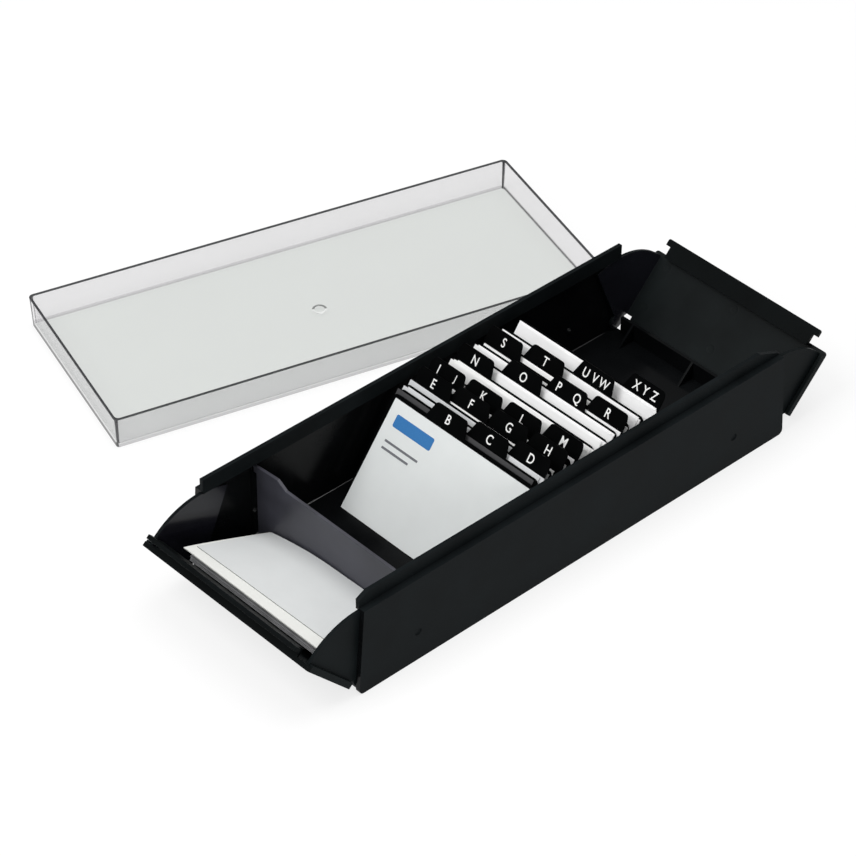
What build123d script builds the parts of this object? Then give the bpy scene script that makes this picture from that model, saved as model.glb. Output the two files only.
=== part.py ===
"""Business card box: a long tray with a swinging flap at each end, a clear lid, two partitions,
an A to Z index with cards filed behind its tabs, and a pile of blank cards on the open front flap.

Millimetres. X runs across the box, Y along it towards the rear flap, Z up.
The origin is the centre of the tray's underside.
"""
import os
from math import asin, atan, cos, degrees, radians, sin, sqrt, tan

from build123d import *

# Clearances
run_gap = 0.3
seat_gap = 0.1
leaf_gap = 0.3
pin_clearance = 0.08

# Tray
tray_w = 108.0
tray_l = 258.4
ledge_h = 45.0
wall_t = 2.4
floor_t = 2.2
end_rake = 3.0
corner_r = 2.5
web_t = 1.0
lip_inset = 3.2
lip_t = 2.0
lip_h = 6.6
front_cut = (4.9, 2.5)
rear_cut = (13.0, 5.7)

# Low wall and gussets at each end of the floor
end_wall_h = 11.4
end_wall_t = 1.6
end_wall_out = 0.8
end_wall_w = 93.0
gusset_leg = 9.2
gusset_t = 1.2
gusset_pitch = 38.5

# Stops moulded in the side walls
nub_in = 33.3
nub_h = 15.7
nub_r = 1.6
nub_out = 1.5
dimple_r = 1.9
dimple_depth = 0.5

# Flaps
pivot_in = 3.0
pivot_h = 6.4
pin_r = 1.5
pin_reach = 1.3
open_deg = 42.9
panel_gap = 1.2
panel_t = 2.2
panel_inset = 0.5
panel_low = -2.4
panel_low_w = 93.0
panel_corner_r = 1.5
rim_low = 5.6
flap_ledge = 38.8
flap_ledge_t = 1.4
flap_lip_inset = 4.5
flap_lip_top = 46.4
hook_low = 43.0
hook_gap = 1.0
notch_depth = 2.8
cheek_t = 1.6
cheek_span_deg = 65.5
knuckle_r = 3.8

# Partitions
plate_t = 1.6
plate_h = 40.0
plate_side_h = 30.0
plate_top_x = 38.5
plate_corner = (2.8, 2.6)
plate_rise = 3.2
plate_slope_w = 5.4
ear_start = 35.4
ear_drop = 1.3
ear_depth = 3.6
front_plate_y = -96.1
rear_plate_y = 54.0

# Lid, turned over and lying beside the tray
lid_t = 1.2
lid_h = 16.8
lid_draft = 1.0
lid_gap = 0.35
lid_corner_r = 1.6
lid_place = (-155.9, 33.4)
lid_yaw_deg = -15.87
gate_r = 3.0
gate_h = 0.4

# Index
index_w = 88.0
index_body_h = 55.3
index_t = 0.5
index_lean_deg = 35.0
tab_h = 7.4
tab_top_w = 19.0
tab_base_w = 24.0
tab_pitch = 22.3
tab_columns = 4
tab_r = 2.0
body_r = 3.0
index_centre = 0.4

# Cards
card_w = 86.0
card_h = 55.0
card_t = 0.35
front_card_foot = -56.0
front_card_lean_deg = 36.8
front_card_centre = 2.9

# Blank cards on the open front flap
blank_front = (-145.2, 30.5)
blank_slope_deg = 16.5
blank_w = 86.0
blank_depth = 50.5
blank_centre = 3.8
pile_t = 7.0
pile_back = 0.5
top_blank_depth = 44.5
top_blank_w = 85.0

# Name on the tab, column of the tab, where its foot stands along the box, sideways shift,
# and the sideways shift of each card filed behind it
INDEX = [
    ("b", 1, -53.4, 1.2, [-0.9]),
    ("c", 2, -49.4, 0.6, [1.4, -0.6]),
    ("d", 3, -45.3, -0.2, [-1.8, 0.6]),
    ("e", 0, -41.0, 0.5, [0.4]),
    ("f", 1, -38.6, -0.2, []),
    ("g", 2, -37.4, 0.2, []),
    ("h", 3, -35.8, 0.6, [1.2, -0.4]),
    ("ij", 0, -32.1, -0.6, []),
    ("k", 1, -31.0, -0.4, []),
    ("l", 2, -29.5, 0.3, [0.8]),
    ("m", 3, -26.8, 0.9, [2.2, 0.6, -0.8, 1.0]),
    ("n", 0, -16.0, 0.7, [1.9, -0.5, 0.4]),
    ("o", 1, -8.5, 1.4, [0.2, -1.2, 0.9]),
    ("pq", 2, -1.6, 0.2, [1.0]),
    ("r", 3, 1.2, 0.1, []),
    ("s", 0, 2.3, 0.0, [-1.5, 0.8]),
    ("t", 1, 6.5, -0.1, [-1.0, 0.7, -0.2]),
    ("uvw", 2, 14.4, 0.9, [-0.3, 0.5, 1.4]),
    ("xyz", 3, 24.6, -0.2, []),
]

# Worked out from the sizes above
half_w = tray_w / 2
half_l = tray_l / 2
wall_in = half_w - wall_t
lip_out = half_w - lip_inset
lip_in = lip_out - lip_t
rake_deg = degrees(atan(end_rake / ledge_h))
pivot_y = half_l - pivot_in
end_plane = (pivot_in - end_rake * pivot_h / ledge_h) * cos(radians(rake_deg))
rim_in = end_plane + run_gap
panel_in = end_plane + panel_gap
panel_out = panel_in + panel_t
lip_n = panel_out - flap_lip_inset - lip_t
cheek_out = wall_in - run_gap
cheek_r = ledge_h - web_t - run_gap - pivot_h
rim_top = flap_ledge - panel_corner_r
panel_half = half_w - panel_inset
flap_lip_w = lip_in - hook_gap
notch_w = flap_lip_w - notch_depth
end_wall_y = pivot_y + end_wall_out - end_wall_t
plate_w = cheek_out - cheek_t - run_gap


def save(piece, name):
    """Label a finished piece and write its file."""
    piece.label = name
    export_step(piece, f"parts/{name}.step")


def end_at(height):
    """How far along the box its raked side walls reach at a height."""
    return half_l - end_rake * height / ledge_h


def side_plane(frame, x):
    """A plane across a flap's frame at x, with its own x up the panel and its y outward."""
    return Plane(origin=frame.from_local_coords(Vector(x, 0, 0)), x_dir=frame.y_dir, z_dir=frame.x_dir)


def leaning_plane(foot, lean_deg, centre, thickness):
    """The front face of a card that stands on the floor and leans back."""
    lean = radians(lean_deg)
    foot_h = floor_t + seat_gap + thickness * sin(lean)
    return Plane(origin=(centre, foot, foot_h), x_dir=(1, 0, 0), z_dir=(0, -cos(lean), sin(lean)))


def flap_frame(side):
    """The frame of an end flap: x across, y up its panel, z outward; side is -1 front or 1 rear."""
    tilt = radians(open_deg)
    return Plane(
        origin=(0, side * pivot_y, pivot_h),
        x_dir=(-side, 0, 0),
        z_dir=(0, side * cos(tilt), -sin(tilt)),
    )


def build_tray():
    """The tray: floor, raked side walls, stepped lip, low end walls, gussets, sockets and stops."""
    lip_ends = {1: (front_cut, rear_cut), -1: (None, None)}
    with BuildPart() as tray:
        with BuildSketch(Plane.XY):
            Rectangle(2 * wall_in, 2 * (end_wall_y + end_wall_t))
        extrude(amount=floor_t)
        for side in (1, -1):
            with BuildSketch(Plane.YZ.offset(side * wall_in)):
                with BuildLine():
                    Polyline(
                        (-half_l, 0), (half_l, 0), (end_at(ledge_h), ledge_h), (-end_at(ledge_h), ledge_h),
                        close=True,
                    )
                profile = make_face()
                fillet(profile.vertices().group_by(Axis.Y)[0], corner_r)
            extrude(amount=side * wall_t)
            with BuildSketch(Plane.YZ.offset(side * lip_in)):
                low = ledge_h - web_t
                with BuildLine():
                    Polyline(
                        (-end_at(low), low), (end_at(low), low),
                        (end_at(ledge_h), ledge_h), (-end_at(ledge_h), ledge_h), close=True,
                    )
                make_face()
            extrude(amount=side * (half_w - lip_in))
            with BuildSketch(Plane.YZ.offset(side * lip_in)):
                top = ledge_h + lip_h
                end = end_at(ledge_h)
                front, rear = lip_ends[side]
                front_points = [(-end + front[0], top), (-end, top - front[1])] if front else [(-end, top)]
                rear_points = [(end, top - rear[1]), (end - rear[0], top)] if rear else [(end, top)]
                with BuildLine():
                    Polyline((-end, ledge_h - web_t), (end, ledge_h - web_t), *rear_points, *front_points,
                             close=True)
                make_face()
            extrude(amount=side * lip_t)
            for end in (1, -1):
                at_pin = Plane(origin=(side * wall_in, end * pivot_y, pivot_h), z_dir=(side, 0, 0))
                with BuildSketch(at_pin):
                    Circle(pin_r + pin_clearance)
                extrude(amount=pin_reach + seat_gap, mode=Mode.SUBTRACT)
                nub_at = (side * wall_in, end * (half_l - nub_in), nub_h)
                with BuildSketch(Plane(origin=nub_at, z_dir=(-side, 0, 0))):
                    Circle(nub_r)
                extrude(amount=nub_out, taper=20)
                dimple_at = (side * half_w, end * (half_l - nub_in), nub_h)
                with BuildSketch(Plane(origin=dimple_at, z_dir=(-side, 0, 0))):
                    Circle(dimple_r)
                extrude(amount=dimple_depth, taper=30, mode=Mode.SUBTRACT)
        for end in (1, -1):
            with BuildSketch(Plane.XZ.offset(-end * end_wall_y)):
                with Locations((0, end_wall_h / 2)):
                    Rectangle(end_wall_w, end_wall_h)
            extrude(amount=-end * end_wall_t)
            for x in (-gusset_pitch, 0, gusset_pitch):
                with BuildSketch(Plane.YZ.offset(x - gusset_t / 2)):
                    with BuildLine():
                        Polyline(
                            (end * end_wall_y, floor_t), (end * (end_wall_y - gusset_leg), floor_t),
                            (end * end_wall_y, floor_t + gusset_leg), close=True,
                        )
                    make_face()
                extrude(amount=gusset_t)
    save(tray.part, "tray")


def build_flap(side, name):
    """An end flap: panel with side rims, stepped lip with hooked ends, two cheeks and their pins."""
    frame = flap_frame(side)
    cheek_in = cheek_out - cheek_t
    arc_top = sqrt(cheek_r ** 2 - panel_in ** 2)
    span = radians(cheek_span_deg)
    mid = (span - asin(panel_in / cheek_r)) / 2
    with BuildPart() as flap:
        with BuildSketch(frame.offset(panel_in)):
            with BuildLine():
                Polyline(
                    (-panel_low_w / 2, panel_low), (panel_low_w / 2, panel_low), (panel_low_w / 2, rim_low),
                    (panel_half, rim_low), (panel_half, flap_ledge), (-panel_half, flap_ledge),
                    (-panel_half, rim_low), (-panel_low_w / 2, rim_low), close=True,
                )
            outline = make_face()
            fillet(outline.vertices().group_by(Axis.Y)[-1], panel_corner_r)
        extrude(amount=panel_t)
        with BuildSketch(frame.offset(lip_n)):
            with Locations((0, flap_ledge - flap_ledge_t / 2)):
                Rectangle(2 * notch_w, flap_ledge_t)
        extrude(amount=panel_out - lip_n)
        with BuildSketch(frame.offset(lip_n)):
            with BuildLine():
                Polyline(
                    (-notch_w, flap_ledge - flap_ledge_t), (notch_w, flap_ledge - flap_ledge_t),
                    (notch_w, hook_low), (flap_lip_w, hook_low), (flap_lip_w, flap_lip_top),
                    (-flap_lip_w, flap_lip_top), (-flap_lip_w, hook_low), (-notch_w, hook_low), close=True,
                )
            hooked = make_face()
            fillet(hooked.vertices().group_by(Axis.Y)[-1], 1.0)
        extrude(amount=lip_t)
        for sign in (1, -1):
            with BuildSketch(frame.offset(rim_in)):
                with Locations((sign * (panel_half + wall_in) / 2, (rim_low + rim_top) / 2)):
                    Rectangle(panel_half - wall_in, rim_top - rim_low)
            extrude(amount=panel_in - rim_in)
            with BuildSketch(side_plane(frame, cheek_in if sign > 0 else -cheek_out)):
                with BuildLine():
                    Line((0, 0), (rim_low, panel_in))
                    Line((rim_low, panel_in), (arc_top, panel_in))
                    ThreePointArc(
                        (arc_top, panel_in), (cheek_r * cos(mid), -cheek_r * sin(mid)),
                        (cheek_r * cos(span), -cheek_r * sin(span)),
                    )
                    Line((cheek_r * cos(span), -cheek_r * sin(span)), (0, 0))
                make_face()
                Circle(knuckle_r)
            extrude(amount=cheek_t)
            with BuildSketch(side_plane(frame, sign * cheek_out)):
                Circle(pin_r)
            extrude(amount=sign * (run_gap + pin_reach))
    save(flap.part, name)


def build_partition(front_face_y, ear_side, name):
    """A loose partition plate; its ear reaches under the lip on the side given as -1 or 1."""
    ear_top = plate_h + plate_rise
    ear_end = ear_top - ear_drop
    outline = [
        (-plate_w, floor_t + seat_gap), (plate_w, floor_t + seat_gap),
        (plate_w, ear_end - ear_depth), (cheek_out, ear_end - ear_depth), (cheek_out, ear_end),
        (ear_start, ear_top), (ear_start - plate_slope_w, plate_h),
        (-plate_top_x, plate_h), (-plate_top_x - plate_corner[0], plate_h - plate_corner[1]),
        (-plate_w, plate_side_h),
    ]
    with BuildPart() as plate:
        with BuildSketch(Plane.XZ.offset(-front_face_y)):
            with BuildLine():
                Polyline(*[(ear_side * x, z) for x, z in outline], close=True)
            make_face()
        extrude(amount=-plate_t)
    save(plate.part, name)


def build_lid():
    """The clear lid: a thin drafted tray that lies on its top, with the gate mark in its middle."""
    outer_w = 2 * (lip_out + lid_gap + lid_t)
    closed_lip = pivot_y + lip_n + lip_t - sin(radians(rake_deg)) * flap_ledge
    outer_l = 2 * (closed_lip + lid_gap + lid_t)
    taper = degrees(atan(lid_draft / lid_h))
    yaw = radians(lid_yaw_deg)
    on_table = Plane(origin=(*lid_place, 0), x_dir=(cos(yaw), sin(yaw), 0), z_dir=(0, 0, 1))
    with BuildPart() as lid:
        with BuildSketch(on_table):
            RectangleRounded(outer_w - 2 * lid_draft, outer_l - 2 * lid_draft, lid_corner_r)
        extrude(amount=lid_h, taper=-taper)
        inner_draft = lid_draft * (1 - lid_t / lid_h)
        with BuildSketch(on_table.offset(lid_t)):
            RectangleRounded(
                outer_w - 2 * lid_t - 2 * inner_draft, outer_l - 2 * lid_t - 2 * inner_draft,
                lid_corner_r - lid_t / 2,
            )
        extrude(amount=lid_h - lid_t, taper=-taper, mode=Mode.SUBTRACT)
        with BuildSketch(on_table.offset(lid_t)):
            Circle(gate_r)
        extrude(amount=gate_h)
    save(lid.part, "lid")


def build_index_sheet(name, column, foot, shift):
    """One index sheet: a rounded body with a lettered tab standing on its top edge."""
    face = leaning_plane(foot, index_lean_deg, index_centre + shift, index_t)
    tab_x = (column - (tab_columns - 1) / 2) * tab_pitch
    flank = (tab_base_w - tab_top_w) / 2
    tab_top = index_body_h + tab_h
    with BuildPart() as sheet:
        with BuildSketch(face) as outline:
            with Locations((0, index_body_h / 2)):
                RectangleRounded(index_w, index_body_h, body_r)
            with BuildLine():
                Polyline(
                    (tab_x - tab_base_w / 2, index_body_h - body_r),
                    (tab_x - tab_base_w / 2, index_body_h),
                    (tab_x - tab_base_w / 2 + flank, tab_top),
                    (tab_x + tab_base_w / 2 - flank, tab_top),
                    (tab_x + tab_base_w / 2, index_body_h),
                    (tab_x + tab_base_w / 2, index_body_h - body_r),
                    close=True,
                )
            make_face()
            with Locations((0, tab_top / 2)):
                Rectangle(index_w, tab_top, mode=Mode.INTERSECT)
            fillet(outline.vertices().group_by(Axis.Y)[-1], tab_r)
        extrude(amount=-index_t)
    save(sheet.part, f"index_{name}")


def build_filed_cards(name, foot, shifts):
    """The cards filed in front of the next sheet, one leaf each, counted forward from that sheet."""
    pitch = card_t + leaf_gap
    with BuildPart() as packet:
        for place, shift in enumerate(shifts, start=1):
            rise = place * pitch / cos(radians(index_lean_deg))
            face = leaning_plane(foot - rise, index_lean_deg, index_centre + shift, card_t)
            with BuildSketch(face):
                with Locations((0, card_h / 2)):
                    Rectangle(card_w, card_h)
            extrude(amount=-card_t)
    save(packet.part, f"cards_{name}")


def build_front_card():
    """The business card that leans against the first index sheet."""
    face = leaning_plane(front_card_foot, front_card_lean_deg, front_card_centre, card_t)
    with BuildPart() as card:
        with BuildSketch(face):
            with Locations((0, card_h / 2)):
                Rectangle(card_w, card_h)
        extrude(amount=-card_t)
    save(card.part, "business_card")


def build_blanks():
    """The pile of blank cards: a solid block below, loose cards above and a shorter one on top."""
    slope = radians(blank_slope_deg)
    face = Plane(
        origin=(blank_centre, *blank_front),
        x_dir=(1, 0, 0),
        z_dir=(0, sin(slope), cos(slope)),
    )
    with BuildPart() as pile:
        with BuildSketch(face):
            with Locations((0, (blank_depth + pile_back) / 2)):
                Rectangle(blank_w, blank_depth - pile_back)
        extrude(amount=-pile_t)
    save(pile.part, "blank_pile")
    for count, (depth, shift) in enumerate(((blank_depth, -0.8), (blank_depth, 0.7)), start=1):
        with BuildPart() as loose:
            with BuildSketch(face.offset((count - 1) * card_t)):
                with Locations((shift, depth / 2)):
                    Rectangle(blank_w, depth)
            extrude(amount=card_t)
        save(loose.part, f"blank_card_{count}")
    with BuildPart() as top:
        with BuildSketch(face.offset(2 * card_t)):
            with Locations((0.4, blank_depth - top_blank_depth / 2)):
                Rectangle(top_blank_w, top_blank_depth)
        extrude(amount=card_t)
    save(top.part, "blank_card_top")


def main():
    os.makedirs("parts", exist_ok=True)
    build_tray()
    build_flap(-1, "front_flap")
    build_flap(1, "rear_flap")
    build_partition(front_plate_y, -1, "front_partition")
    build_partition(rear_plate_y, 1, "rear_partition")
    build_lid()
    for place, (name, column, foot, shift, cards) in enumerate(INDEX):
        build_index_sheet(name, column, foot, shift)
        if cards:
            build_filed_cards(name, INDEX[place + 1][2], cards)
    build_front_card()
    build_blanks()


main()
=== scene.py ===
"""Looks of the business card box: black moulded tray and flaps, a clear lid, an A to Z index,
filed cards, a leaning business card and a pile of blank cards, with a plain studio round them.

Sizes in this file are in millimetres unless a name says otherwise; MM turns them into metres.
"""
import logging
from dataclasses import dataclass, field
from enum import Enum
from math import cos, hypot, pi, radians, sin

import bmesh
import bpy
from mathutils import Matrix, Vector


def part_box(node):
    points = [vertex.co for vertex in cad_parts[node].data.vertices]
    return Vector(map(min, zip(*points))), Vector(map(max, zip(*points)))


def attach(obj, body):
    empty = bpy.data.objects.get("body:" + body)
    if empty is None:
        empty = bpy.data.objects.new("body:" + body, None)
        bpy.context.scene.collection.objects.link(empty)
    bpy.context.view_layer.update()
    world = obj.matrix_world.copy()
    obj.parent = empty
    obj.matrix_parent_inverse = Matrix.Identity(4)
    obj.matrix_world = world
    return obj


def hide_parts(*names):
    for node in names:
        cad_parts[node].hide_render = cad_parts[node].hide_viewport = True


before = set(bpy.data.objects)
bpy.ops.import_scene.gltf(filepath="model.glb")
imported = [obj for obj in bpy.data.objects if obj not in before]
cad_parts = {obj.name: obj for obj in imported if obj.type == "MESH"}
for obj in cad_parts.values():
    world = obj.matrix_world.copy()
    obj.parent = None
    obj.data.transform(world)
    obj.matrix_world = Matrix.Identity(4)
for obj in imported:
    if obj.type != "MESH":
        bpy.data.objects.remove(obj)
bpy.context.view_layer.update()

LOG = logging.getLogger("card_box")
MM = 0.001
PHOTO_PX = 856

# How the eased copies are shaped, in square millimetres, millimetres and degrees
SMALL_FACE = 40.0
MERGE_DIST = 0.002
FLAT_DEG = 0.4
EASED_DEG = 40.0
SHARP_DEG = 20.0
EASED_STEPS = 2

Colour = tuple[float, float, float]
Point = tuple[float, float, float]


class Body(Enum):
    """The bodies that the pieces of this box ride on."""

    BOX = "box"
    FRONT_FLAP = "front_flap"
    REAR_FLAP = "rear_flap"
    FRONT_PARTITION = "front_partition"
    REAR_PARTITION = "rear_partition"
    BLANKS = "blank_cards"
    BUSINESS_CARD = "business_card"
    LID = "lid"


class Slot(Enum):
    """The record's material slots."""

    TRAY = "black_tray"
    FLAP = "black_flap"
    PARTITION = "black_partition"
    INDEX = "black_index"
    LID = "clear_lid"
    PRINTED = "printed_card"
    WHITE = "white_card"


class Weave(Enum):
    """Which surface pattern a finish carries: how its noise is stretched over the piece."""

    EVEN = (1.0, 1.0, 1.0)
    FIBRE = (1.0, 2.6, 1.4)


class TrayFace(Enum):
    """The tray shell's finishes, in material order."""

    INSIDE = 0
    OUTSIDE = 1


class FlapFace(Enum):
    """The flap shell's finishes, in material order."""

    OUTER = 0
    CHEEK = 1
    LIP = 2
    PANEL = 3


class LidZone(Enum):
    """The lid shell's finishes, in material order."""

    PLATE = 0
    SKIRT = 1
    RIM = 2
    CORNER = 3
    CREASE = 4
    FOOT = 5


class Shader:
    """A small helper that holds one material's node tree while a finish builds it."""

    NOISE_ROUGHNESS = 0.55
    NOISE_RANGE = (0.3, 0.7)
    TONE_STOPS = (0.32, 0.68)

    def __init__(self, name: str) -> None:
        """Start an empty material with its output node.

        Args:
            name: Name of the material.
        """
        self.material = bpy.data.materials.new(name)
        self.material.use_nodes = True
        self.tree = self.material.node_tree
        self.tree.nodes.clear()
        self.output = self.add("ShaderNodeOutputMaterial")

    def add(self, kind: str, **values: object) -> bpy.types.Node:
        """Add a node and set its plain inputs.

        Args:
            kind: Blender's name for the node type.
            values: Input values by socket name, with underscores for spaces.

        Returns:
            The new node.
        """
        node = self.tree.nodes.new(kind)
        for key, value in values.items():
            node.inputs[key.replace("_", " ")].default_value = value
        return node

    def join(self, source: bpy.types.NodeSocket, target: bpy.types.NodeSocket) -> None:
        """Link two sockets."""
        self.tree.links.new(source, target)

    def noise(self, size_mm: float, detail: float, weave: Weave = Weave.EVEN) -> bpy.types.NodeSocket:
        """Noise in the piece's own coordinates.

        Args:
            size_mm: Size of one cell of the noise.
            detail: Octaves of finer noise on top.
            weave: How the noise is stretched.

        Returns:
            The noise's value socket.
        """
        place = self.add("ShaderNodeTexCoord")
        scale = self.add("ShaderNodeMapping", Scale=weave.value)
        self.join(place.outputs["Object"], scale.inputs["Vector"])
        node = self.add(
            "ShaderNodeTexNoise",
            Scale=1 / (size_mm * MM), Detail=detail, Roughness=self.NOISE_ROUGHNESS,
        )
        self.join(scale.outputs["Vector"], node.inputs["Vector"])
        return node.outputs["Fac"]

    def spread(self, value: bpy.types.NodeSocket, low: float, high: float) -> bpy.types.NodeSocket:
        """Map a noise value to a range.

        Args:
            value: Socket with the noise.
            low: What the noise's dark end becomes.
            high: What its bright end becomes.

        Returns:
            The mapped socket.
        """
        dark, bright = self.NOISE_RANGE
        node = self.add("ShaderNodeMapRange", From_Min=dark, From_Max=bright, To_Min=low, To_Max=high)
        self.join(value, node.inputs["Value"])
        return node.outputs["Result"]

    def tones(
        self, value: bpy.types.NodeSocket, dark: Colour, light: Colour,
    ) -> bpy.types.NodeSocket:
        """A colour that drifts between two tones with a noise value.

        Args:
            value: Socket with the noise.
            dark: Colour at the noise's low end.
            light: Colour at its high end.

        Returns:
            The colour socket.
        """
        ramp = self.add("ShaderNodeValToRGB")
        for element, stop, colour in zip(ramp.color_ramp.elements, self.TONE_STOPS, (dark, light)):
            element.position = stop
            element.color = (*colour, 1.0)
        self.join(value, ramp.inputs["Fac"])
        return ramp.outputs["Color"]

    def relief(
        self, height: bpy.types.NodeSocket, depth_mm: float, strength: float,
    ) -> bpy.types.NodeSocket:
        """Bump from a height socket.

        Args:
            height: Socket with the height.
            depth_mm: Depth of the relief.
            strength: How strongly it shows, 0 to 1.

        Returns:
            The normal socket.
        """
        node = self.add("ShaderNodeBump", Strength=strength, Distance=depth_mm * MM)
        self.join(height, node.inputs["Height"])
        return node.outputs["Normal"]


def toned(colour: Colour, factor: float) -> Colour:
    """A colour made lighter or darker by a factor."""
    return (colour[0] * factor, colour[1] * factor, colour[2] * factor)


@dataclass(frozen=True)
class BlackPlastic:
    """Moulded black plastic with a fine grain, cloudy gloss and slight change of tone."""

    name: str
    colour: Colour
    gloss: tuple[float, float]
    grain: float
    grain_depth: float
    specular: float = 0.25
    cloud: float = 26.0
    cloud_detail: float = 3.0
    grain_detail: float = 2.0
    grain_show: float = 0.8
    contrast: float = 0.25

    def material(self) -> bpy.types.Material:
        """Build the material.

        Returns:
            The finished material.
        """
        sheet = Shader(self.name)
        shader = sheet.add("ShaderNodeBsdfPrincipled", Specular_IOR_Level=self.specular)
        cloud = sheet.noise(self.cloud, self.cloud_detail)
        grain = sheet.noise(self.grain, self.grain_detail)
        dark, light = toned(self.colour, 1 - self.contrast), toned(self.colour, 1 + self.contrast)
        sheet.join(sheet.tones(cloud, dark, light), shader.inputs["Base Color"])
        sheet.join(sheet.spread(cloud, *self.gloss), shader.inputs["Roughness"])
        sheet.join(sheet.relief(grain, self.grain_depth, self.grain_show), shader.inputs["Normal"])
        sheet.join(shader.outputs["BSDF"], sheet.output.inputs["Surface"])
        return sheet.material


@dataclass(frozen=True)
class CardStock:
    """White card: faint cloudiness, a fibre bump and an uneven dull surface."""

    name: str
    colour: Colour
    cloud: float = 9.0
    cloud_detail: float = 4.0
    fibre: float = 0.45
    fibre_detail: float = 3.0
    fibre_depth: float = 0.012
    fibre_show: float = 0.6
    mottle: float = 0.012
    gloss: tuple[float, float] = (0.48, 0.62)
    specular: float = 0.35

    def material(self) -> bpy.types.Material:
        """Build the material.

        Returns:
            The finished material.
        """
        sheet = Shader(self.name)
        shader = sheet.add("ShaderNodeBsdfPrincipled", Specular_IOR_Level=self.specular)
        cloud = sheet.noise(self.cloud, self.cloud_detail)
        fibre = sheet.noise(self.fibre, self.fibre_detail, Weave.FIBRE)
        dark, light = toned(self.colour, 1 - self.mottle), toned(self.colour, 1 + self.mottle)
        sheet.join(sheet.tones(cloud, dark, light), shader.inputs["Base Color"])
        sheet.join(sheet.spread(fibre, *self.gloss), shader.inputs["Roughness"])
        sheet.join(sheet.relief(fibre, self.fibre_depth, self.fibre_show), shader.inputs["Normal"])
        sheet.join(shader.outputs["BSDF"], sheet.output.inputs["Surface"])
        return sheet.material


@dataclass(frozen=True)
class Ink:
    """Printed or painted ink: a flat tone that breaks up slightly, with a satin surface."""

    name: str
    colour: Colour
    speck: float = 0.35
    speck_detail: float = 2.0
    speck_depth: float = 0.006
    speck_show: float = 0.5
    tones: tuple[float, float] = (0.93, 1.05)
    gloss: tuple[float, float] = (0.38, 0.52)
    specular: float = 0.3

    def material(self) -> bpy.types.Material:
        """Build the material.

        Returns:
            The finished material.
        """
        sheet = Shader(self.name)
        shader = sheet.add("ShaderNodeBsdfPrincipled", Specular_IOR_Level=self.specular)
        speck = sheet.noise(self.speck, self.speck_detail)
        dark, light = toned(self.colour, self.tones[0]), toned(self.colour, self.tones[1])
        sheet.join(sheet.tones(speck, dark, light), shader.inputs["Base Color"])
        sheet.join(sheet.spread(speck, *self.gloss), shader.inputs["Roughness"])
        sheet.join(sheet.relief(speck, self.speck_depth, self.speck_show), shader.inputs["Normal"])
        sheet.join(shader.outputs["BSDF"], sheet.output.inputs["Surface"])
        return sheet.material


@dataclass(frozen=True)
class ClearPlastic:
    """Thin clear plastic with a grey tint: how much of it hides what is behind, and its gloss."""

    name: str
    colour: Colour
    cover: float
    gloss: tuple[float, float] = (0.05, 0.09)
    wave: float = 38.0
    wave_detail: float = 1.5
    wave_depth: float = 0.12
    wave_show: float = 0.3
    scuff: float = 14.0
    scuff_detail: float = 3.0
    tones: tuple[float, float] = (0.94, 1.06)
    specular: float = 0.5

    def material(self) -> bpy.types.Material:
        """Build the material.

        Returns:
            The finished material.
        """
        sheet = Shader(self.name)
        shader = sheet.add(
            "ShaderNodeBsdfPrincipled", Alpha=self.cover, Specular_IOR_Level=self.specular,
        )
        wave = sheet.noise(self.wave, self.wave_detail)
        scuff = sheet.noise(self.scuff, self.scuff_detail)
        dark, light = toned(self.colour, self.tones[0]), toned(self.colour, self.tones[1])
        sheet.join(sheet.tones(wave, dark, light), shader.inputs["Base Color"])
        sheet.join(sheet.spread(scuff, *self.gloss), shader.inputs["Roughness"])
        sheet.join(sheet.relief(wave, self.wave_depth, self.wave_show), shader.inputs["Normal"])
        sheet.join(shader.outputs["BSDF"], sheet.output.inputs["Surface"])
        return sheet.material


def piece_from(
    work: bmesh.types.BMesh, name: str, materials: list[bpy.types.Material],
) -> bpy.types.Object:
    """Turn a finished bmesh into a linked object.

    Args:
        work: The mesh, which is freed here.
        name: Name of the piece.
        materials: Its materials in slot order.

    Returns:
        The new object.
    """
    mesh = bpy.data.meshes.new(name)
    work.to_mesh(mesh)
    work.free()
    for material in materials:
        mesh.materials.append(material)
    piece = bpy.data.objects.new(name, mesh)
    bpy.context.scene.collection.objects.link(piece)
    return piece


def applied(piece: bpy.types.Object) -> None:
    """Turn a piece's modifiers into plain mesh.

    Args:
        piece: The piece, which keeps its name and place.
    """
    bpy.context.view_layer.update()
    graph = bpy.context.evaluated_depsgraph_get()
    mesh = bpy.data.meshes.new_from_object(piece.evaluated_get(graph))
    piece.modifiers.clear()
    piece.data = mesh


def eased_copy(node: str, name: str, radius: float) -> bpy.types.Object:
    """Copy a moulded node and ease its sharp edges, as a mould does.

    Args:
        node: The CAD node.
        name: Name of the new piece.
        radius: Radius on the edges.

    Returns:
        The new piece, with modifiers applied and no material yet.
    """
    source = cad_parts[node].data
    bare = bpy.data.meshes.new("bare_copy")
    corners = [vertex.co for vertex in source.vertices]
    bare.from_pydata(corners, [], [tuple(face.vertices) for face in source.polygons])
    work = bmesh.new()
    work.from_mesh(bare)
    bpy.data.meshes.remove(bare)
    bmesh.ops.remove_doubles(work, verts=work.verts, dist=MERGE_DIST * MM)
    bmesh.ops.dissolve_limit(work, angle_limit=radians(FLAT_DEG), verts=work.verts, edges=work.edges)
    piece = piece_from(work, name, [])
    bevel = piece.modifiers.new("eased_edges", "BEVEL")
    bevel.width = radius * MM
    bevel.segments = EASED_STEPS
    bevel.limit_method = "ANGLE"
    bevel.angle_limit = radians(EASED_DEG)
    bevel.use_clamp_overlap = True
    applied(piece)
    piece.data.set_sharp_from_angle(angle=radians(SHARP_DEG))
    for face in piece.data.polygons:
        face.use_smooth = face.area < SMALL_FACE * MM * MM
    return piece


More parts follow.
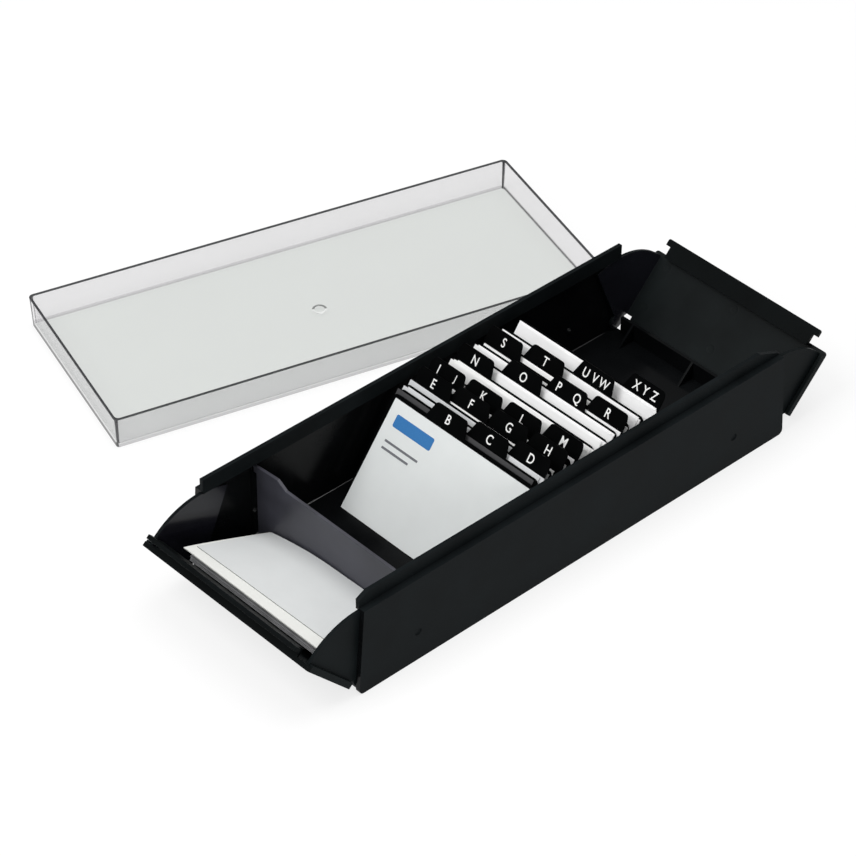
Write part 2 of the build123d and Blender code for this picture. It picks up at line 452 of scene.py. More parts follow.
def dress_node(node: str, material: bpy.types.Material) -> None:
    """Give a CAD node that stays as it is its finish.

    Args:
        node: The CAD node.
        material: Its finish.
    """
    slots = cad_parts[node].data.materials
    slots.clear()
    slots.append(material)


def outline_mesh(loops: list[list[Vector]], normal: Vector, thickness: float) -> bmesh.types.BMesh:
    """Thin raised islands, one for each closed outline.

    Args:
        loops: Outlines as corner lists in metres.
        normal: Which way they stand off the surface.
        thickness: How far they stand off, in metres.

    Returns:
        The mesh with every outline extruded.
    """
    work = bmesh.new()
    for loop in loops:
        low = [work.verts.new(point) for point in loop]
        high = [work.verts.new(point + normal * thickness) for point in loop]
        work.faces.new(high)
        work.faces.new(list(reversed(low)))
        for here in range(len(loop)):
            after = (here + 1) % len(loop)
            work.faces.new((low[here], low[after], high[after], high[here]))
    bmesh.ops.recalc_face_normals(work, faces=work.faces)
    return work


@dataclass
class Leaf:
    """The front face of a leaning card or sheet: where its foot is and how far it leans back."""

    foot: Vector
    lean_deg: float

    @classmethod
    def of_node(cls, node: str, thickness: float, lean_deg: float) -> "Leaf":
        """Find a leaning node's front face from its box.

        Args:
            node: The CAD node.
            thickness: Its thickness.
            lean_deg: Its lean from upright.

        Returns:
            The leaf with its foot at the middle of the node's width.
        """
        low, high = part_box(node)
        rise = thickness * MM * sin(radians(lean_deg))
        return cls(Vector(((low.x + high.x) / 2, low.y, low.z + rise)), lean_deg)

    @property
    def up(self) -> Vector:
        """Direction up the face."""
        return Vector((0, sin(radians(self.lean_deg)), cos(radians(self.lean_deg))))

    @property
    def out(self) -> Vector:
        """Direction out of the face, towards the reader."""
        return Vector((0, -cos(radians(self.lean_deg)), sin(radians(self.lean_deg))))

    def at(self, across: float, up: float, out: float = 0.0) -> Vector:
        """A point on the face, in metres, from millimetres across, up and out of it."""
        return self.foot + Vector((across, 0, 0)) * MM + self.up * (up * MM) + self.out * (out * MM)


@dataclass
class Tray:
    """The long tray: grained outside, glossy inside, and a small fillet where wall and floor meet."""

    edge: float = 0.35
    outer_x: float = 53.4
    lip_low: float = 44.5
    wall_in: float = 51.6
    floor_top: float = 2.2
    fillet_r: float = 0.55
    fillet_half: float = 120.0
    fillet_steps: int = 5
    fillet_sharp_deg: float = 40.0
    outside: BlackPlastic = BlackPlastic(
        "tray_outside", (0.0066, 0.0084, 0.0092), (0.42, 0.54), 0.42, 0.03, 0.03,
    )
    inside: BlackPlastic = BlackPlastic(
        "tray_inside", (0.0032, 0.0036, 0.004), (0.16, 0.3), 1.3, 0.008, 0.1,
    )
    fillet: BlackPlastic = BlackPlastic(
        "tray_fillet", (0.004, 0.0042, 0.0045), (0.12, 0.2), 1.3, 0.004, 1.0,
    )

    def fillets(self) -> str:
        """Run the fillet along the foot of both side walls.

        Returns:
            The piece's name.
        """
        work = bmesh.new()
        for side in (-1, 1):
            corner = Vector((side * self.wall_in, 0, self.floor_top)) * MM
            profile = [corner]
            for step in range(self.fillet_steps + 1):
                turn = pi / 2 * step / self.fillet_steps
                away = Vector((-side * (1 - sin(turn)), 0, 1 - cos(turn))) * self.fillet_r * MM
                profile.append(corner + away)
            ends = []
            for y in (-self.fillet_half, self.fillet_half):
                ends.append([work.verts.new(point + Vector((0, y * MM, 0))) for point in profile])
            for here in range(len(profile)):
                after = (here + 1) % len(profile)
                quad = (ends[0][here], ends[0][after], ends[1][after], ends[1][here])
                work.faces.new(quad).smooth = True
            work.faces.new(ends[0])
            work.faces.new(list(reversed(ends[1])))
        bmesh.ops.recalc_face_normals(work, faces=work.faces)
        piece = piece_from(work, "tray_fillets", [self.fillet.material()])
        piece.data.set_sharp_from_angle(angle=radians(self.fillet_sharp_deg))
        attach(piece, Body.BOX.value)
        return piece.name

    def build(self) -> list[str]:
        """Build the tray and its fillets.

        Returns:
            The pieces' names.
        """
        shell = eased_copy("tray", "tray_shell", self.edge)
        shell.data.materials.append(self.inside.material())
        shell.data.materials.append(self.outside.material())
        for face in shell.data.polygons:
            middle = face.center / MM
            outer = abs(middle.x) > self.outer_x or middle.z > self.lip_low
            face.material_index = (TrayFace.OUTSIDE if outer else TrayFace.INSIDE).value
        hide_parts("tray")
        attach(shell, Body.BOX.value)
        return [shell.name, self.fillets()]


@dataclass
class Flap:
    """One end flap: panel, rims, stepped lip and cheeks, with ejector rings on its inner face."""

    node: str
    body: Body
    side: int
    edge: float = 0.3
    pivot: tuple[float, float] = (126.2, 6.4)
    tilt_deg: float = 42.9
    panel_n: float = 3.768
    facing: float = 0.7
    lip_from: float = 37.5
    marks: tuple[tuple[float, float], ...] = (
        (-43.2, 33.6), (0.0, 33.6), (43.2, 33.6), (-43.2, 12.4), (0.0, 12.4), (43.2, 12.4),
    )
    mark_rings: tuple[tuple[float, float], ...] = (
        (2.5, 0.0), (2.35, 0.03), (2.15, 0.03), (2.0, 0.0), (1.0, 0.003), (0.3, 0.005),
    )
    mark_steps: int = 32
    inside: BlackPlastic = BlackPlastic(
        "flap_inside", (0.0086, 0.0088, 0.0128), (0.14, 0.22), 1.1, 0.005, 0.42,
    )
    panel: BlackPlastic = BlackPlastic(
        "flap_panel", (0.0062, 0.0082, 0.0086), (0.4, 0.5), 1.1, 0.006, 0.09,
    )
    # Painted shade: the lip band is the same grained plastic as the outside, coloured darker.
    lip: BlackPlastic = BlackPlastic(
        "flap_lip", (0.0022, 0.0032, 0.0034), (0.4, 0.5), 0.42, 0.03, 0.05,
    )
    outside: BlackPlastic = BlackPlastic(
        "flap_outside", (0.0058, 0.0076, 0.0082), (0.4, 0.5), 0.42, 0.03, 0.03,
    )

    def at(self, across: float, up: float, out: float) -> Vector:
        """A point of the flap's own frame, in metres.

        Args:
            across: Sideways, along the box's X.
            up: Up the panel from the pivot.
            out: Outward from the pivot's plane.

        Returns:
            The point in the box's frame.
        """
        tilt = radians(self.tilt_deg)
        y = self.side * (self.pivot[0] + sin(tilt) * up + cos(tilt) * out)
        z = self.pivot[1] + cos(tilt) * up - sin(tilt) * out
        return Vector((across, y, z)) * MM

    def rings(self, material: bpy.types.Material) -> str:
        """Raise the ejector rings on the panel's inner face.

        Args:
            material: The panel's inner finish.

        Returns:
            The piece's name.
        """
        work = bmesh.new()
        for x, v in self.marks:
            loops = []
            for radius, height in self.mark_rings:
                loop = []
                for step in range(self.mark_steps):
                    turn = 2 * pi * step / self.mark_steps
                    across, up = x + radius * cos(turn), v + radius * sin(turn)
                    loop.append(work.verts.new(self.at(across, up, self.panel_n - height)))
                loops.append(loop)
            for outer, inner in zip(loops, loops[1:]):
                for step in range(self.mark_steps):
                    after = (step + 1) % self.mark_steps
                    quad = (outer[step], outer[after], inner[after], inner[step])
                    work.faces.new(quad).smooth = True
            work.faces.new(loops[-1])
        bmesh.ops.recalc_face_normals(work, faces=work.faces)
        piece = piece_from(work, f"{self.node}_rings", [material])
        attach(piece, self.body.value)
        return piece.name

    def build(self, finishes: list[bpy.types.Material]) -> list[str]:
        """Build the flap.

        Args:
            finishes: One finish for each FlapFace, in its order.

        Returns:
            The pieces' names.
        """
        shell = eased_copy(self.node, f"{self.node}_shell", self.edge)
        for material in finishes:
            shell.data.materials.append(material)
        foot = self.at(0, 0, 0)
        outward = (self.at(0, 0, 1) - foot).normalized()
        upward = (self.at(0, 1, 0) - foot).normalized()
        for face in shell.data.polygons:
            sideways = face.normal.x * (1 if face.center.x > 0 else -1)
            if (face.center - foot).dot(upward) > self.lip_from * MM:
                face.material_index = FlapFace.LIP.value
            elif sideways < -self.facing:
                face.material_index = FlapFace.CHEEK.value
            elif face.normal.dot(outward) < -self.facing:
                face.material_index = FlapFace.PANEL.value
        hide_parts(self.node)
        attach(shell, self.body.value)
        return [shell.name, self.rings(finishes[FlapFace.PANEL.value])]


@dataclass
class Partition:
    """A loose partition plate in smooth black plastic, lightened to a lavender grey as painted sheen.
    """

    node: str
    body: Body
    edge: float = 0.3
    # Partly painted: the plate is black plastic, but its colour is raised to a lavender grey as painted
    # sheen for the reflections on its faces.
    finish: BlackPlastic = BlackPlastic(
        "partition_plastic", (0.044, 0.0445, 0.056), (0.36, 0.46), 2.2, 0.006, 0.42,
    )

    def build(self, material: bpy.types.Material) -> list[str]:
        """Build the plate.

        Args:
            material: The partitions' shared finish.

        Returns:
            The piece's name, in a list.
        """
        plate = eased_copy(self.node, f"{self.node}_plate", self.edge)
        plate.data.materials.append(material)
        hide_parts(self.node)
        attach(plate, self.body.value)
        return [plate.name]


@dataclass
class Index:
    """The lettered sheets: black satin plastic with a white letter on each tab."""

    columns: dict[str, int] = field(default_factory=lambda: {
        "b": 1, "c": 2, "d": 3, "e": 0, "f": 1, "g": 2, "h": 3, "ij": 0, "k": 1, "l": 2,
        "m": 3, "n": 0, "o": 1, "pq": 2, "r": 3, "s": 0, "t": 1, "uvw": 2, "xyz": 3,
    })
    tab_columns: int = 4
    tab_pitch: float = 22.3
    sheet_t: float = 0.5
    lean_deg: float = 35.0
    letter_h: float = 4.3
    letter_up: float = 56.3
    paint_t: float = 0.04
    pitches: dict[str, float] = field(
        default_factory=lambda: {"ij": 10.3, "pq": 11.2, "uvw": 5.6, "xyz": 5.4},
    )
    narrow: float = 0.86
    boldness: float = 0.008
    hooked: str = "J"
    sheet: BlackPlastic = BlackPlastic(
        "index_sheet", (0.0014, 0.0016, 0.0017), (0.34, 0.46), 1.2, 0.01, 0.02,
    )
    paint: Ink = Ink("letter_paint", (0.82, 0.82, 0.81))

    def glyph(self, letter: str) -> bpy.types.Mesh:
        """One letter as a mesh, one unit thick, on its own origin.

        Args:
            letter: The capital letter.

        Returns:
            Its mesh.
        """
        curve = bpy.data.curves.new("glyph", "FONT")
        curve.body = letter
        curve.size = 1.0
        curve.extrude = 0.5
        curve.offset = self.boldness
        text = bpy.data.objects.new("glyph", curve)
        bpy.context.scene.collection.objects.link(text)
        mesh = bpy.data.meshes.new_from_object(text)
        bpy.data.objects.remove(text)
        bpy.data.curves.remove(curve)
        return mesh

    def letters(self, name: str, column: int, paint: bpy.types.Material) -> str:
        """Write the letters of one tab as raised paint.

        Args:
            name: The sheet's letters in lower case.
            column: Which of the four tab places it has.
            paint: The letters' finish.

        Returns:
            The piece's name.
        """
        leaf = Leaf.of_node(f"index_{name}", self.sheet_t, self.lean_deg)
        tab_x = (column - (self.tab_columns - 1) / 2) * self.tab_pitch
        work = bmesh.new()
        for place, letter in enumerate(name.upper()):
            mesh = self.glyph(letter)
            wide = [v.co.x for v in mesh.vertices]
            tall = [v.co.y for v in mesh.vertices]
            middle = (min(wide) + max(wide)) / 2
            base = min(tall) if letter in self.hooked else 0.0
            size = self.letter_h / (max(tall) - base)
            across = tab_x + (place - (len(name) - 1) / 2) * self.pitches.get(name, 0.0)
            for vertex in mesh.vertices:
                x, y, z = vertex.co
                vertex.co = leaf.at(
                    across + (x - middle) * size * self.narrow,
                    self.letter_up + (y - base) * size,
                    self.paint_t * (z + 0.5),
                )
            work.from_mesh(mesh)
            bpy.data.meshes.remove(mesh)
        piece = piece_from(work, f"letters_{name}", [paint])
        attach(piece, Body.BOX.value)
        return piece.name

    def build(self) -> list[str]:
        """Dress the sheets and write their letters.

        Returns:
            The pieces' names.
        """
        sheet, paint = self.sheet.material(), self.paint.material()
        pieces = []
        for name, column in self.columns.items():
            dress_node(f"index_{name}", sheet)
            pieces += [f"index_{name}", self.letters(name, column, paint)]
        return pieces


@dataclass
class FiledCards:
    """The packets of cards filed behind the tabs, each in its own tone: white, or grey to near black as
    painted shade on packets that sit in shade.
    """

    # Packet b is near black and packets c and d grey: painted shade on white cards that sit in shade
    # behind the tabs; the rest are plain whites.
    whites_and_painted_shade: dict[str, Colour] = field(default_factory=lambda: {
        "b": (0.05, 0.05, 0.052), "c": (0.64, 0.65, 0.66), "d": (0.62, 0.63, 0.64),
        "e": (0.88, 0.88, 0.87), "h": (0.87, 0.87, 0.87), "l": (0.86, 0.86, 0.87),
        "m": (0.88, 0.88, 0.87), "n": (0.9, 0.9, 0.9), "o": (0.88, 0.88, 0.88),
        "pq": (0.89, 0.89, 0.89), "s": (0.9, 0.9, 0.89), "t": (0.88, 0.88, 0.88),
        "uvw": (0.9, 0.9, 0.9),
    })

    def build(self) -> list[str]:
        """Dress every packet.

        Returns:
            The packets' names.
        """
        for name, shade in self.whites_and_painted_shade.items():
            dress_node(f"cards_{name}", CardStock(f"filed_card_{name}", shade).material())
        return [f"cards_{name}" for name in self.whites_and_painted_shade]


@dataclass
class BusinessCard:
    """The leaning card, with a plain generic print: a coloured bar and grey lines."""

    thickness: float = 0.35
    lean_deg: float = 36.8
    print_t: float = 0.03
    bar: tuple[float, float, float, float] = (-38.0, 43.5, 24.0, 6.0)
    bar_cut: float = 0.6
    lines: tuple[tuple[float, float, float], ...] = (
        (-38.0, 36.0, 21.0), (-38.0, 32.6, 17.0),
        (14.0, 12.5, 24.0), (14.0, 9.5, 20.0), (14.0, 6.5, 23.0),
    )
    line_h: float = 1.1
    line_cut: float = 0.25
    stock: CardStock = CardStock("business_card_stock", (0.70, 0.725, 0.72))
    bar_ink: Ink = Ink("bar_ink", (0.035, 0.17, 0.42))
    line_ink: Ink = Ink("line_ink", (0.16, 0.165, 0.18))

    def strip(
        self, leaf: Leaf, left: float, low: float, wide: float, high: float, cut: float,
    ) -> list[Vector]:
        """Outline of a printed strip with cut corners.

        Args:
            leaf: The card's face.
            left: Left end from the middle of the card.
            low: Lower edge above the card's foot.
            wide: Width.
            high: Height.
            cut: Size of the cut corners.

        Returns:
            Its eight corners in metres.
        """
        right, top = left + wide, low + high
        corners = [
            (left + cut, low), (right - cut, low), (right, low + cut), (right, top - cut),
            (right - cut, top), (left + cut, top), (left, top - cut), (left, low + cut),
        ]
        return [leaf.at(x, y) for x, y in corners]

    def build(self) -> list[str]:
        """Dress the card and print it.

        Returns:
            The pieces' names.
        """
        dress_node("business_card", self.stock.material())
        pieces = ["business_card"]
        leaf = Leaf.of_node("business_card", self.thickness, self.lean_deg)
        bar = outline_mesh([self.strip(leaf, *self.bar, self.bar_cut)], leaf.out, self.print_t * MM)
        words = [
            self.strip(leaf, left, low, wide, self.line_h, self.line_cut)
            for left, low, wide in self.lines
        ]
        lines = outline_mesh(words, leaf.out, self.print_t * MM)
        for work, name, ink in ((bar, "card_bar", self.bar_ink), (lines, "card_lines", self.line_ink)):
            piece = piece_from(work, name, [ink.material()])
            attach(piece, Body.BUSINESS_CARD.value)
            pieces.append(piece.name)
        return pieces


@dataclass(frozen=True)
class BlankLeaf:
    """One blank card of the pile, in the pile's own frame."""

    left: float
    right: float
    front: float
    rear: float
    low: float
    thickness: float
    turn_deg: float = 0.0


@dataclass
class Blanks:
    """The blank cards on the open flap: a stack of leaves in painted shade, two loose cards and a
    shorter top card.
    """

    origin: Point = (3.8, -145.2, 30.5)
    slope_deg: float = 16.5
    half_w: float = 43.0
    depth: float = 50.5
    card_t: float = 0.35
    pile_t: float = 7.0
    pile_leaves: int = 16
    deep_front: float = 9.0
    shallow_front: float = 5.0
    deep_leaves: int = 6
    droop: float = 5.4
    droop_from: tuple[float, float] = (2.0, -6.0)
    droop_powers: tuple[float, float] = (1.15, 1.7)
    lift: float = 0.9
    lift_from: float = -10.0
    lift_power: float = 1.6
    stiffness: float = 0.9
    sway: float = 0.25
    sway_turn: float = 2.4
    ragged: float = 0.2
    ragged_turn: float = 1.7
    leaf_share: float = 0.82
    crease_deg: float = 50.0
    steps: tuple[int, int] = (28, 18)
    stock: CardStock = CardStock("blank_card_stock", (0.645, 0.66, 0.66))
    lower_stock: CardStock = CardStock("blank_card_cream", (0.76, 0.765, 0.735))
    # Painted shade: the stack's white leaves are coloured dark grey because they sit in shadow.
    stack_stock: CardStock = CardStock("blank_stack_stock", (0.17, 0.17, 0.175), mottle=0.3)
    # Painted shadow: the top card's front and rear edges are dark grey, a shadow line along its front
    # edge.
    painted_shadow_edge_stock: CardStock = CardStock("blank_card_edge", (0.16, 0.165, 0.155))
    # Painted shade: the front and rear edges of the stack's leaves are mid grey.
    stack_edge: CardStock = CardStock("blank_stack_edge", (0.42, 0.42, 0.43), mottle=0.2)

    def bend(self, u: float, w: float) -> float:
        """How far the cards bend off their plane at a place.

        Args:
            u: Sideways from the middle.
            w: Down the slope from the front edge.

        Returns:
            Height above the plane, negative where the corner droops.
        """
        back = min(max((w - self.droop_from[0]) / (self.depth - self.droop_from[0]), 0.0), 1.0)
        left = min(max((self.droop_from[1] - u) / (self.half_w + self.droop_from[1]), 0.0), 1.0)
        right = min(max((u - self.lift_from) / (self.half_w - self.lift_from), 0.0), 1.0)
        droop = self.droop * back ** self.droop_powers[0] * left ** self.droop_powers[1]
        return self.lift * back ** self.lift_power * right - droop

    def at(self, u: float, w: float, n: float) -> Vector:
        """A point in the box's frame from the pile's own frame; the lower cards bend less.

        Args:
            u: Sideways from the middle.
            w: Down the slope from the front edge.
            n: Height above the pile's top, negative inside the pile.

        Returns:
            The point in metres.
        """
        slope = radians(self.slope_deg)
        height = n + self.bend(u, w) * (1 + self.stiffness * min(n, 0.0) / self.pile_t)
        y = self.origin[1] + w * cos(slope) + n * sin(slope)
        z = self.origin[2] - w * sin(slope) + height * cos(slope)
        return Vector((self.origin[0] + u, y, z)) * MM

    def add_leaf(self, work: bmesh.types.BMesh, leaf: BlankLeaf) -> None:
        """Add one bent card to a mesh.

        Args:
            work: The mesh it goes into.
            leaf: Where it lies.
        """
        across, down = self.steps
        turn = radians(leaf.turn_deg)
        middle_u, middle_w = (leaf.left + leaf.right) / 2, (leaf.front + leaf.rear) / 2
        sheets = []
        for n in (leaf.low, leaf.low + leaf.thickness):
            rows = []
            for j in range(down + 1):
                row = []
                for i in range(across + 1):
                    du = leaf.left + (leaf.right - leaf.left) * i / across - middle_u
                    dw = leaf.front + (leaf.rear - leaf.front) * j / down - middle_w
                    u = middle_u + du * cos(turn) - dw * sin(turn)
                    w = middle_w + du * sin(turn) + dw * cos(turn)
                    row.append(work.verts.new(self.at(u, w, n)))
                rows.append(row)
            sheets.append(rows)
        for rows in sheets:
            for j in range(down):
                for i in range(across):
                    quad = (rows[j][i], rows[j][i + 1], rows[j + 1][i + 1], rows[j + 1][i])
                    work.faces.new(quad).smooth = True
        low, high = sheets
        for j in range(down):
            for i in (0, across):
                work.faces.new((low[j][i], low[j + 1][i], high[j + 1][i], high[j][i]))
        for i in range(across):
            for j in (0, down):
                quad = (low[j][i], low[j][i + 1], high[j][i + 1], high[j][i])
                work.faces.new(quad).material_index = 1

    def finish(
        self, work: bmesh.types.BMesh, name: str, node: str, stocks: list[bpy.types.Material],
    ) -> str:
        """Turn a mesh of leaves into a piece that stands for its node.

        Args:
            work: The mesh.
            name: Name of the piece.
            node: The CAD node it stands for.
            stocks: Its finishes: the faces and, second, the front and rear edges.

        Returns:
            The piece's name.
        """
        bmesh.ops.recalc_face_normals(work, faces=work.faces)
        piece = piece_from(work, name, stocks)
        piece.data.set_sharp_from_angle(angle=radians(self.crease_deg))
        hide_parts(node)
        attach(piece, Body.BLANKS.value)
        return piece.name

    def stack(self) -> bmesh.types.BMesh:
        """Pile up the lower cards, each a little askew, with the upper ones set back.

        Returns:
            The pile's mesh.
        """
        pile = bmesh.new()
        pitch = self.pile_t / self.pile_leaves
        for place in range(self.pile_leaves):
            sway = self.sway * sin(place * self.sway_turn)
            front = self.deep_front
            if place >= self.deep_leaves:
                front = self.shallow_front + self.ragged * sin(place * self.ragged_turn)
            self.add_leaf(pile, BlankLeaf(
                -self.half_w + sway, self.half_w + sway - self.sway, front, self.depth,
                -(place + 1) * pitch, pitch * self.leaf_share,
            ))
        return pile

    def build(self) -> list[str]:
        """Build the pile and the loose cards.

        Returns:
            The pieces' names.
        """
        stock, cream = self.stock.material(), self.lower_stock.material()
        # The stack's faces and edges carry painted shade, and the top card's edges a painted shadow
        # line.
        stack, edge = self.stack_stock.material(), self.painted_shadow_edge_stock.material()
        pile_stocks = [stack, self.stack_edge.material()]
        pieces = [self.finish(self.stack(), "blank_stack", "blank_pile", pile_stocks)]
        under = BlankLeaf(-43.8, 42.2, 0.3, 50.2, 0.0, self.card_t)
        over = BlankLeaf(-42.3, 43.7, 0.1, 50.2, self.card_t, self.card_t)
        top = BlankLeaf(-42.0, 42.8, 6.6, 50.2, 2 * self.card_t, self.card_t, 1.0)
        for name, node, leaf, stocks in (
            ("blank_sheet_1", "blank_card_1", under, [cream, cream]),
            ("blank_sheet_2", "blank_card_2", over, [cream, cream]),
            # The top card's edges take the painted shadow stock.
            ("blank_sheet_top", "blank_card_top", top, [stock, edge]),
        ):
            work = bmesh.new()
            self.add_leaf(work, leaf)
            pieces.append(self.finish(work, name, node, stocks))
        return pieces


@dataclass
class Lid:
    """The clear lid lying on its top: plate, skirt, rim and corners, whose lighter and darker zones are
    painted refraction and shade, and its gate mark with a painted glint and painted shade.
    """

    edge: float = 0.25
    edge_z: float = 1.3
    near_foot_z: float = 2.7
    crease_z: float = 2.0
    rim_z: float = 16.35
    flat: float = 0.7
    corner_share: float = 0.92
    at: tuple[float, float] = (-155.9, 33.4)
    yaw_deg: float = -15.87
    gate_z: float = 1.7
    gate_rings: tuple[tuple[float, float], ...] = ((3.6, 0.0), (3.3, 0.12), (2.6, 0.12), (2.4, 0.0))
    gate_steps: int = 40
    # Direction of the gate mark's painted glint; the opposite half gets painted shade.
    gate_lit: Point = (0.73, -0.683, 0.0)
    # The plate carries the plastic's own green tint; skirt, rim, corner, crease and foot are copies of
    # the same plastic, made lighter or darker as painted refraction and shade at its walls and edges.
    plate: ClearPlastic = ClearPlastic("lid_plate", (0.12, 0.18, 0.13), 0.162)
    skirt: ClearPlastic = ClearPlastic("lid_skirt", (0.46, 0.44, 0.47), 0.195)
    rim: ClearPlastic = ClearPlastic("lid_rim", (0.018, 0.019, 0.022), 0.96, (0.3, 0.4))
    corner: ClearPlastic = ClearPlastic("lid_corner", (0.02, 0.02, 0.024), 0.9)
    crease: ClearPlastic = ClearPlastic("lid_crease", (0.16, 0.17, 0.16), 0.27)
    foot: ClearPlastic = ClearPlastic("lid_foot", (0.34, 0.32, 0.35), 0.42)
    gate: ClearPlastic = ClearPlastic("lid_gate", (0.02, 0.022, 0.02), 0.62)
    gate_glint: ClearPlastic = ClearPlastic("lid_gate_glint", (0.9, 0.92, 0.9), 0.5)

    def banded(self, shell: bpy.types.Object) -> None:
        """Cut the shell at the heights where its finish changes.

        Args:
            shell: The lid's mesh.
        """
        work = bmesh.new()
        work.from_mesh(shell.data)
        for height in (self.edge_z, self.crease_z, self.near_foot_z, self.rim_z):
            everything = [*work.verts, *work.edges, *work.faces]
            bmesh.ops.bisect_plane(
                work, geom=everything, plane_co=(0, 0, height * MM), plane_no=(0, 0, 1),
            )
        work.to_mesh(shell.data)
        work.free()

    def zone(self, middle: Vector, normal: Vector) -> LidZone:
        """Which finish a face takes.

        Args:
            middle: Its middle, in metres.
            normal: Its normal.

        Returns:
            The face's zone.
        """
        height = middle.z / MM
        if height > self.rim_z:
            return LidZone.RIM
        if abs(normal.z) > self.flat:
            return LidZone.PLATE
        yaw = radians(self.yaw_deg)
        along = abs(normal.x * cos(yaw) + normal.y * sin(yaw))
        across = abs(normal.y * cos(yaw) - normal.x * sin(yaw))
        if max(along, across) < self.corner_share * hypot(along, across):
            return LidZone.CORNER
        # The dark band low on these walls, deeper on the near side only, is painted shade standing in
        # for refraction.
        outside = (middle - Vector((*self.at, 0)) * MM).dot(normal) > 0
        foot = self.near_foot_z if outside and normal.y < 0 else self.edge_z
        if height < foot and across > along:
            return LidZone.CORNER
        if height > self.crease_z:
            return LidZone.SKIRT
        return LidZone.FOOT if outside else LidZone.CREASE

    def gate_mark(self) -> str:
        """Build the round gate mark in the middle of the plate, with a painted glint on its near half
        and painted shade on its far half.

        Returns:
            The piece's name.
        """
        work = bmesh.new()
        rings = []
        for radius, height in self.gate_rings:
            ring = []
            for step in range(self.gate_steps):
                turn = 2 * pi * step / self.gate_steps
                x, y = radius * cos(turn), radius * sin(turn)
                ring.append(work.verts.new((x * MM, y * MM, height * MM)))
            rings.append(ring)
        for outer, inner in zip(rings, rings[1:]):
            for step in range(self.gate_steps):
                after = (step + 1) % self.gate_steps
                face = work.faces.new((outer[step], outer[after], inner[after], inner[step]))
                face.smooth = True
                # Painted light: ring faces on the gate_lit side take the white glint, the rest the dark
                # painted shade.
                face.material_index = 1 if outer[step].co.dot(Vector(self.gate_lit)) > 0 else 0
        mark = piece_from(work, "lid_gate", [self.gate.material(), self.gate_glint.material()])
        mark.location = (self.at[0] * MM, self.at[1] * MM, self.gate_z * MM)
        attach(mark, Body.LID.value)
        return mark.name

    def build(self) -> list[str]:
        """Build the lid and dress its zones.

        Returns:
            The pieces' names.
        """
        shell = eased_copy("lid", "lid_shell", self.edge)
        self.banded(shell)
        for finish in (self.plate, self.skirt, self.rim, self.corner, self.crease, self.foot):
            shell.data.materials.append(finish.material())
        for face in shell.data.polygons:
            face.material_index = self.zone(face.center, face.normal).value
        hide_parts("lid")
        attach(shell, Body.LID.value)
        return [shell.name, self.gate_mark()]


@dataclass(frozen=True)
class SoftBox:
    """A square soft lamp: where it hangs and points and its side, in metres, and its power in watts."""

    name: str
    place: Point
    aim: Point
    size: float
    power: float

    def hang(self) -> None:
        """Hang the lamp in the scene."""
        data = bpy.data.lights.new(self.name, "AREA")
        data.size = self.size
        data.energy = self.power
        lamp = bpy.data.objects.new(self.name, data)
        lamp.location = self.place
        away = Vector(self.aim) - Vector(self.place)
        lamp.rotation_euler = away.to_track_quat("-Z", "Y").to_euler()
        bpy.context.scene.collection.objects.link(lamp)


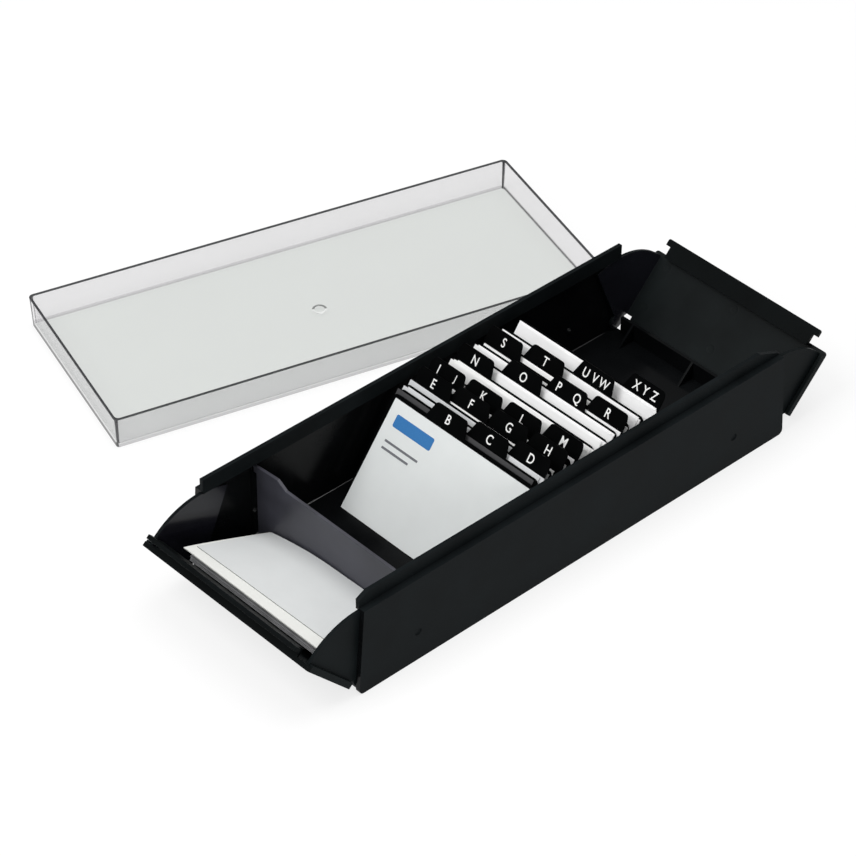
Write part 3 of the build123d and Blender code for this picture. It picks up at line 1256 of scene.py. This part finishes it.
@dataclass
class Studio:
    """Floor, soft lights, world and the camera at the photograph's angle."""

    azimuth_deg: float = 46.942
    elevation_deg: float = 39.059
    roll_deg: float = 0.4984
    focal_px: float = 3570.08
    aside: float = -28.117
    above: float = 31.704
    distance: float = 1588.04
    centre_px: tuple[float, float] = (431.61, 428.08)
    sensor_w: float = 36.0
    clip_m: tuple[float, float] = (0.05, 100.0)
    floor_half: float = 30000.0
    floor_cells: int = 6
    floor_drop: float = 0.2
    floor_tone: float = 0.93
    floor_glow: float = 0.75
    world_strength: float = 0.34
    lamps: tuple[SoftBox, ...] = (
        SoftBox("soft_box_front", (-0.22, -1.1, 1.65), (0, 0, 0.02), 1.1, 23.0),
        SoftBox("soft_box_top", (0.1, 0.3, 1.7), (0, 0, 0), 1.4, 15.0),
        SoftBox("soft_box_side", (0.75, -0.6, 0.3), (0.05, -0.1, 0.02), 0.4, 2.0),
    )

    def camera(self) -> None:
        """Set the camera up as it stood for the photograph."""
        around, raised = radians(self.azimuth_deg), radians(self.elevation_deg)
        roll = radians(self.roll_deg)
        back = Vector((sin(around) * cos(raised), -cos(around) * cos(raised), sin(raised)))
        level = Vector((cos(around), sin(around), 0))
        rise = back.cross(level)
        right = level * cos(roll) + rise * sin(roll)
        up = rise * cos(roll) - level * sin(roll)
        data = bpy.data.cameras.new("photo_camera")
        data.sensor_width = self.sensor_w
        data.lens = self.focal_px * data.sensor_width / PHOTO_PX
        data.shift_x = (PHOTO_PX / 2 - self.centre_px[0]) / PHOTO_PX
        data.shift_y = (self.centre_px[1] - PHOTO_PX / 2) / PHOTO_PX
        data.clip_start, data.clip_end = self.clip_m
        eye = (right * self.aside + up * self.above + back * self.distance) * MM
        camera = bpy.data.objects.new("photo_camera", data)
        axes = Matrix((right, up, back)).transposed().to_4x4()
        camera.matrix_world = Matrix.Translation(eye) @ axes
        bpy.context.scene.collection.objects.link(camera)
        bpy.context.scene.camera = camera

    def floor(self) -> None:
        """Lay the pale floor, which keeps the object's shadow and glows faintly where it is seen."""
        work = bmesh.new()
        half, cells, tone = self.floor_half * MM, self.floor_cells, self.floor_tone
        bmesh.ops.create_grid(work, x_segments=cells, y_segments=cells, size=half)
        sheet = Shader("studio_floor")
        paint = sheet.add("ShaderNodeBsdfDiffuse", Color=(tone, tone, tone, 1.0))
        glow = sheet.add("ShaderNodeEmission", Color=(1.0, 1.0, 1.0, 1.0), Strength=1.0)
        rays = sheet.add("ShaderNodeLightPath")
        seen = sheet.add("ShaderNodeMath")
        seen.operation = "MAXIMUM"
        mirrored = sheet.add("ShaderNodeMath")
        mirrored.operation = "MAXIMUM"
        share = sheet.add("ShaderNodeMath")
        share.operation = "MULTIPLY"
        share.inputs[1].default_value = self.floor_glow
        mix = sheet.add("ShaderNodeMixShader")
        sheet.join(rays.outputs["Is Camera Ray"], seen.inputs[0])
        sheet.join(rays.outputs["Is Glossy Ray"], seen.inputs[1])
        sheet.join(seen.outputs[0], mirrored.inputs[0])
        sheet.join(rays.outputs["Is Transmission Ray"], mirrored.inputs[1])
        sheet.join(mirrored.outputs[0], share.inputs[0])
        sheet.join(share.outputs[0], mix.inputs[0])
        sheet.join(paint.outputs[0], mix.inputs[1])
        sheet.join(glow.outputs[0], mix.inputs[2])
        sheet.join(mix.outputs[0], sheet.output.inputs["Surface"])
        floor = piece_from(work, "studio_floor", [sheet.material])
        floor.location.z = -self.floor_drop * MM

    def world(self) -> None:
        """Fill the room with even white light."""
        world = bpy.data.worlds.new("studio_world")
        world.use_nodes = True
        back = world.node_tree.nodes["Background"]
        back.inputs["Color"].default_value = (1.0, 1.0, 1.0, 1.0)
        back.inputs["Strength"].default_value = self.world_strength
        bpy.context.scene.world = world

    def build(self) -> None:
        """Set up the whole studio."""
        self.camera()
        self.floor()
        self.world()
        for lamp in self.lamps:
            lamp.hang()
        bpy.context.scene.view_settings.view_transform = "Standard"


def report(body: Body, pieces: list[str]) -> None:
    """Log each new piece with the body it rides on."""
    for piece in pieces:
        LOG.info("%s on %s", piece, body.value)


def main() -> None:
    """Build every piece of the box in order, then the studio, and report each piece."""
    logging.basicConfig(level=logging.INFO, format="%(name)s: %(message)s")
    report(Body.BOX, Tray().build())
    flaps = [Flap("front_flap", Body.FRONT_FLAP, -1), Flap("rear_flap", Body.REAR_FLAP, 1)]
    looks = {
        FlapFace.OUTER: Flap.outside, FlapFace.CHEEK: Flap.inside,
        FlapFace.LIP: Flap.lip, FlapFace.PANEL: Flap.panel,
    }
    finishes = [looks[face].material() for face in FlapFace]
    for flap in flaps:
        report(flap.body, flap.build(finishes))
    plates = [
        Partition("front_partition", Body.FRONT_PARTITION),
        Partition("rear_partition", Body.REAR_PARTITION),
    ]
    plate_plastic = plates[0].finish.material()
    for plate in plates:
        report(plate.body, plate.build(plate_plastic))
    report(Body.BOX, Index().build())
    report(Body.BOX, FiledCards().build())
    report(Body.BUSINESS_CARD, BusinessCard().build())
    report(Body.BLANKS, Blanks().build())
    report(Body.LID, Lid().build())
    Studio().build()
    LOG.info("studio ready")


if __name__ == "__main__":
    main()
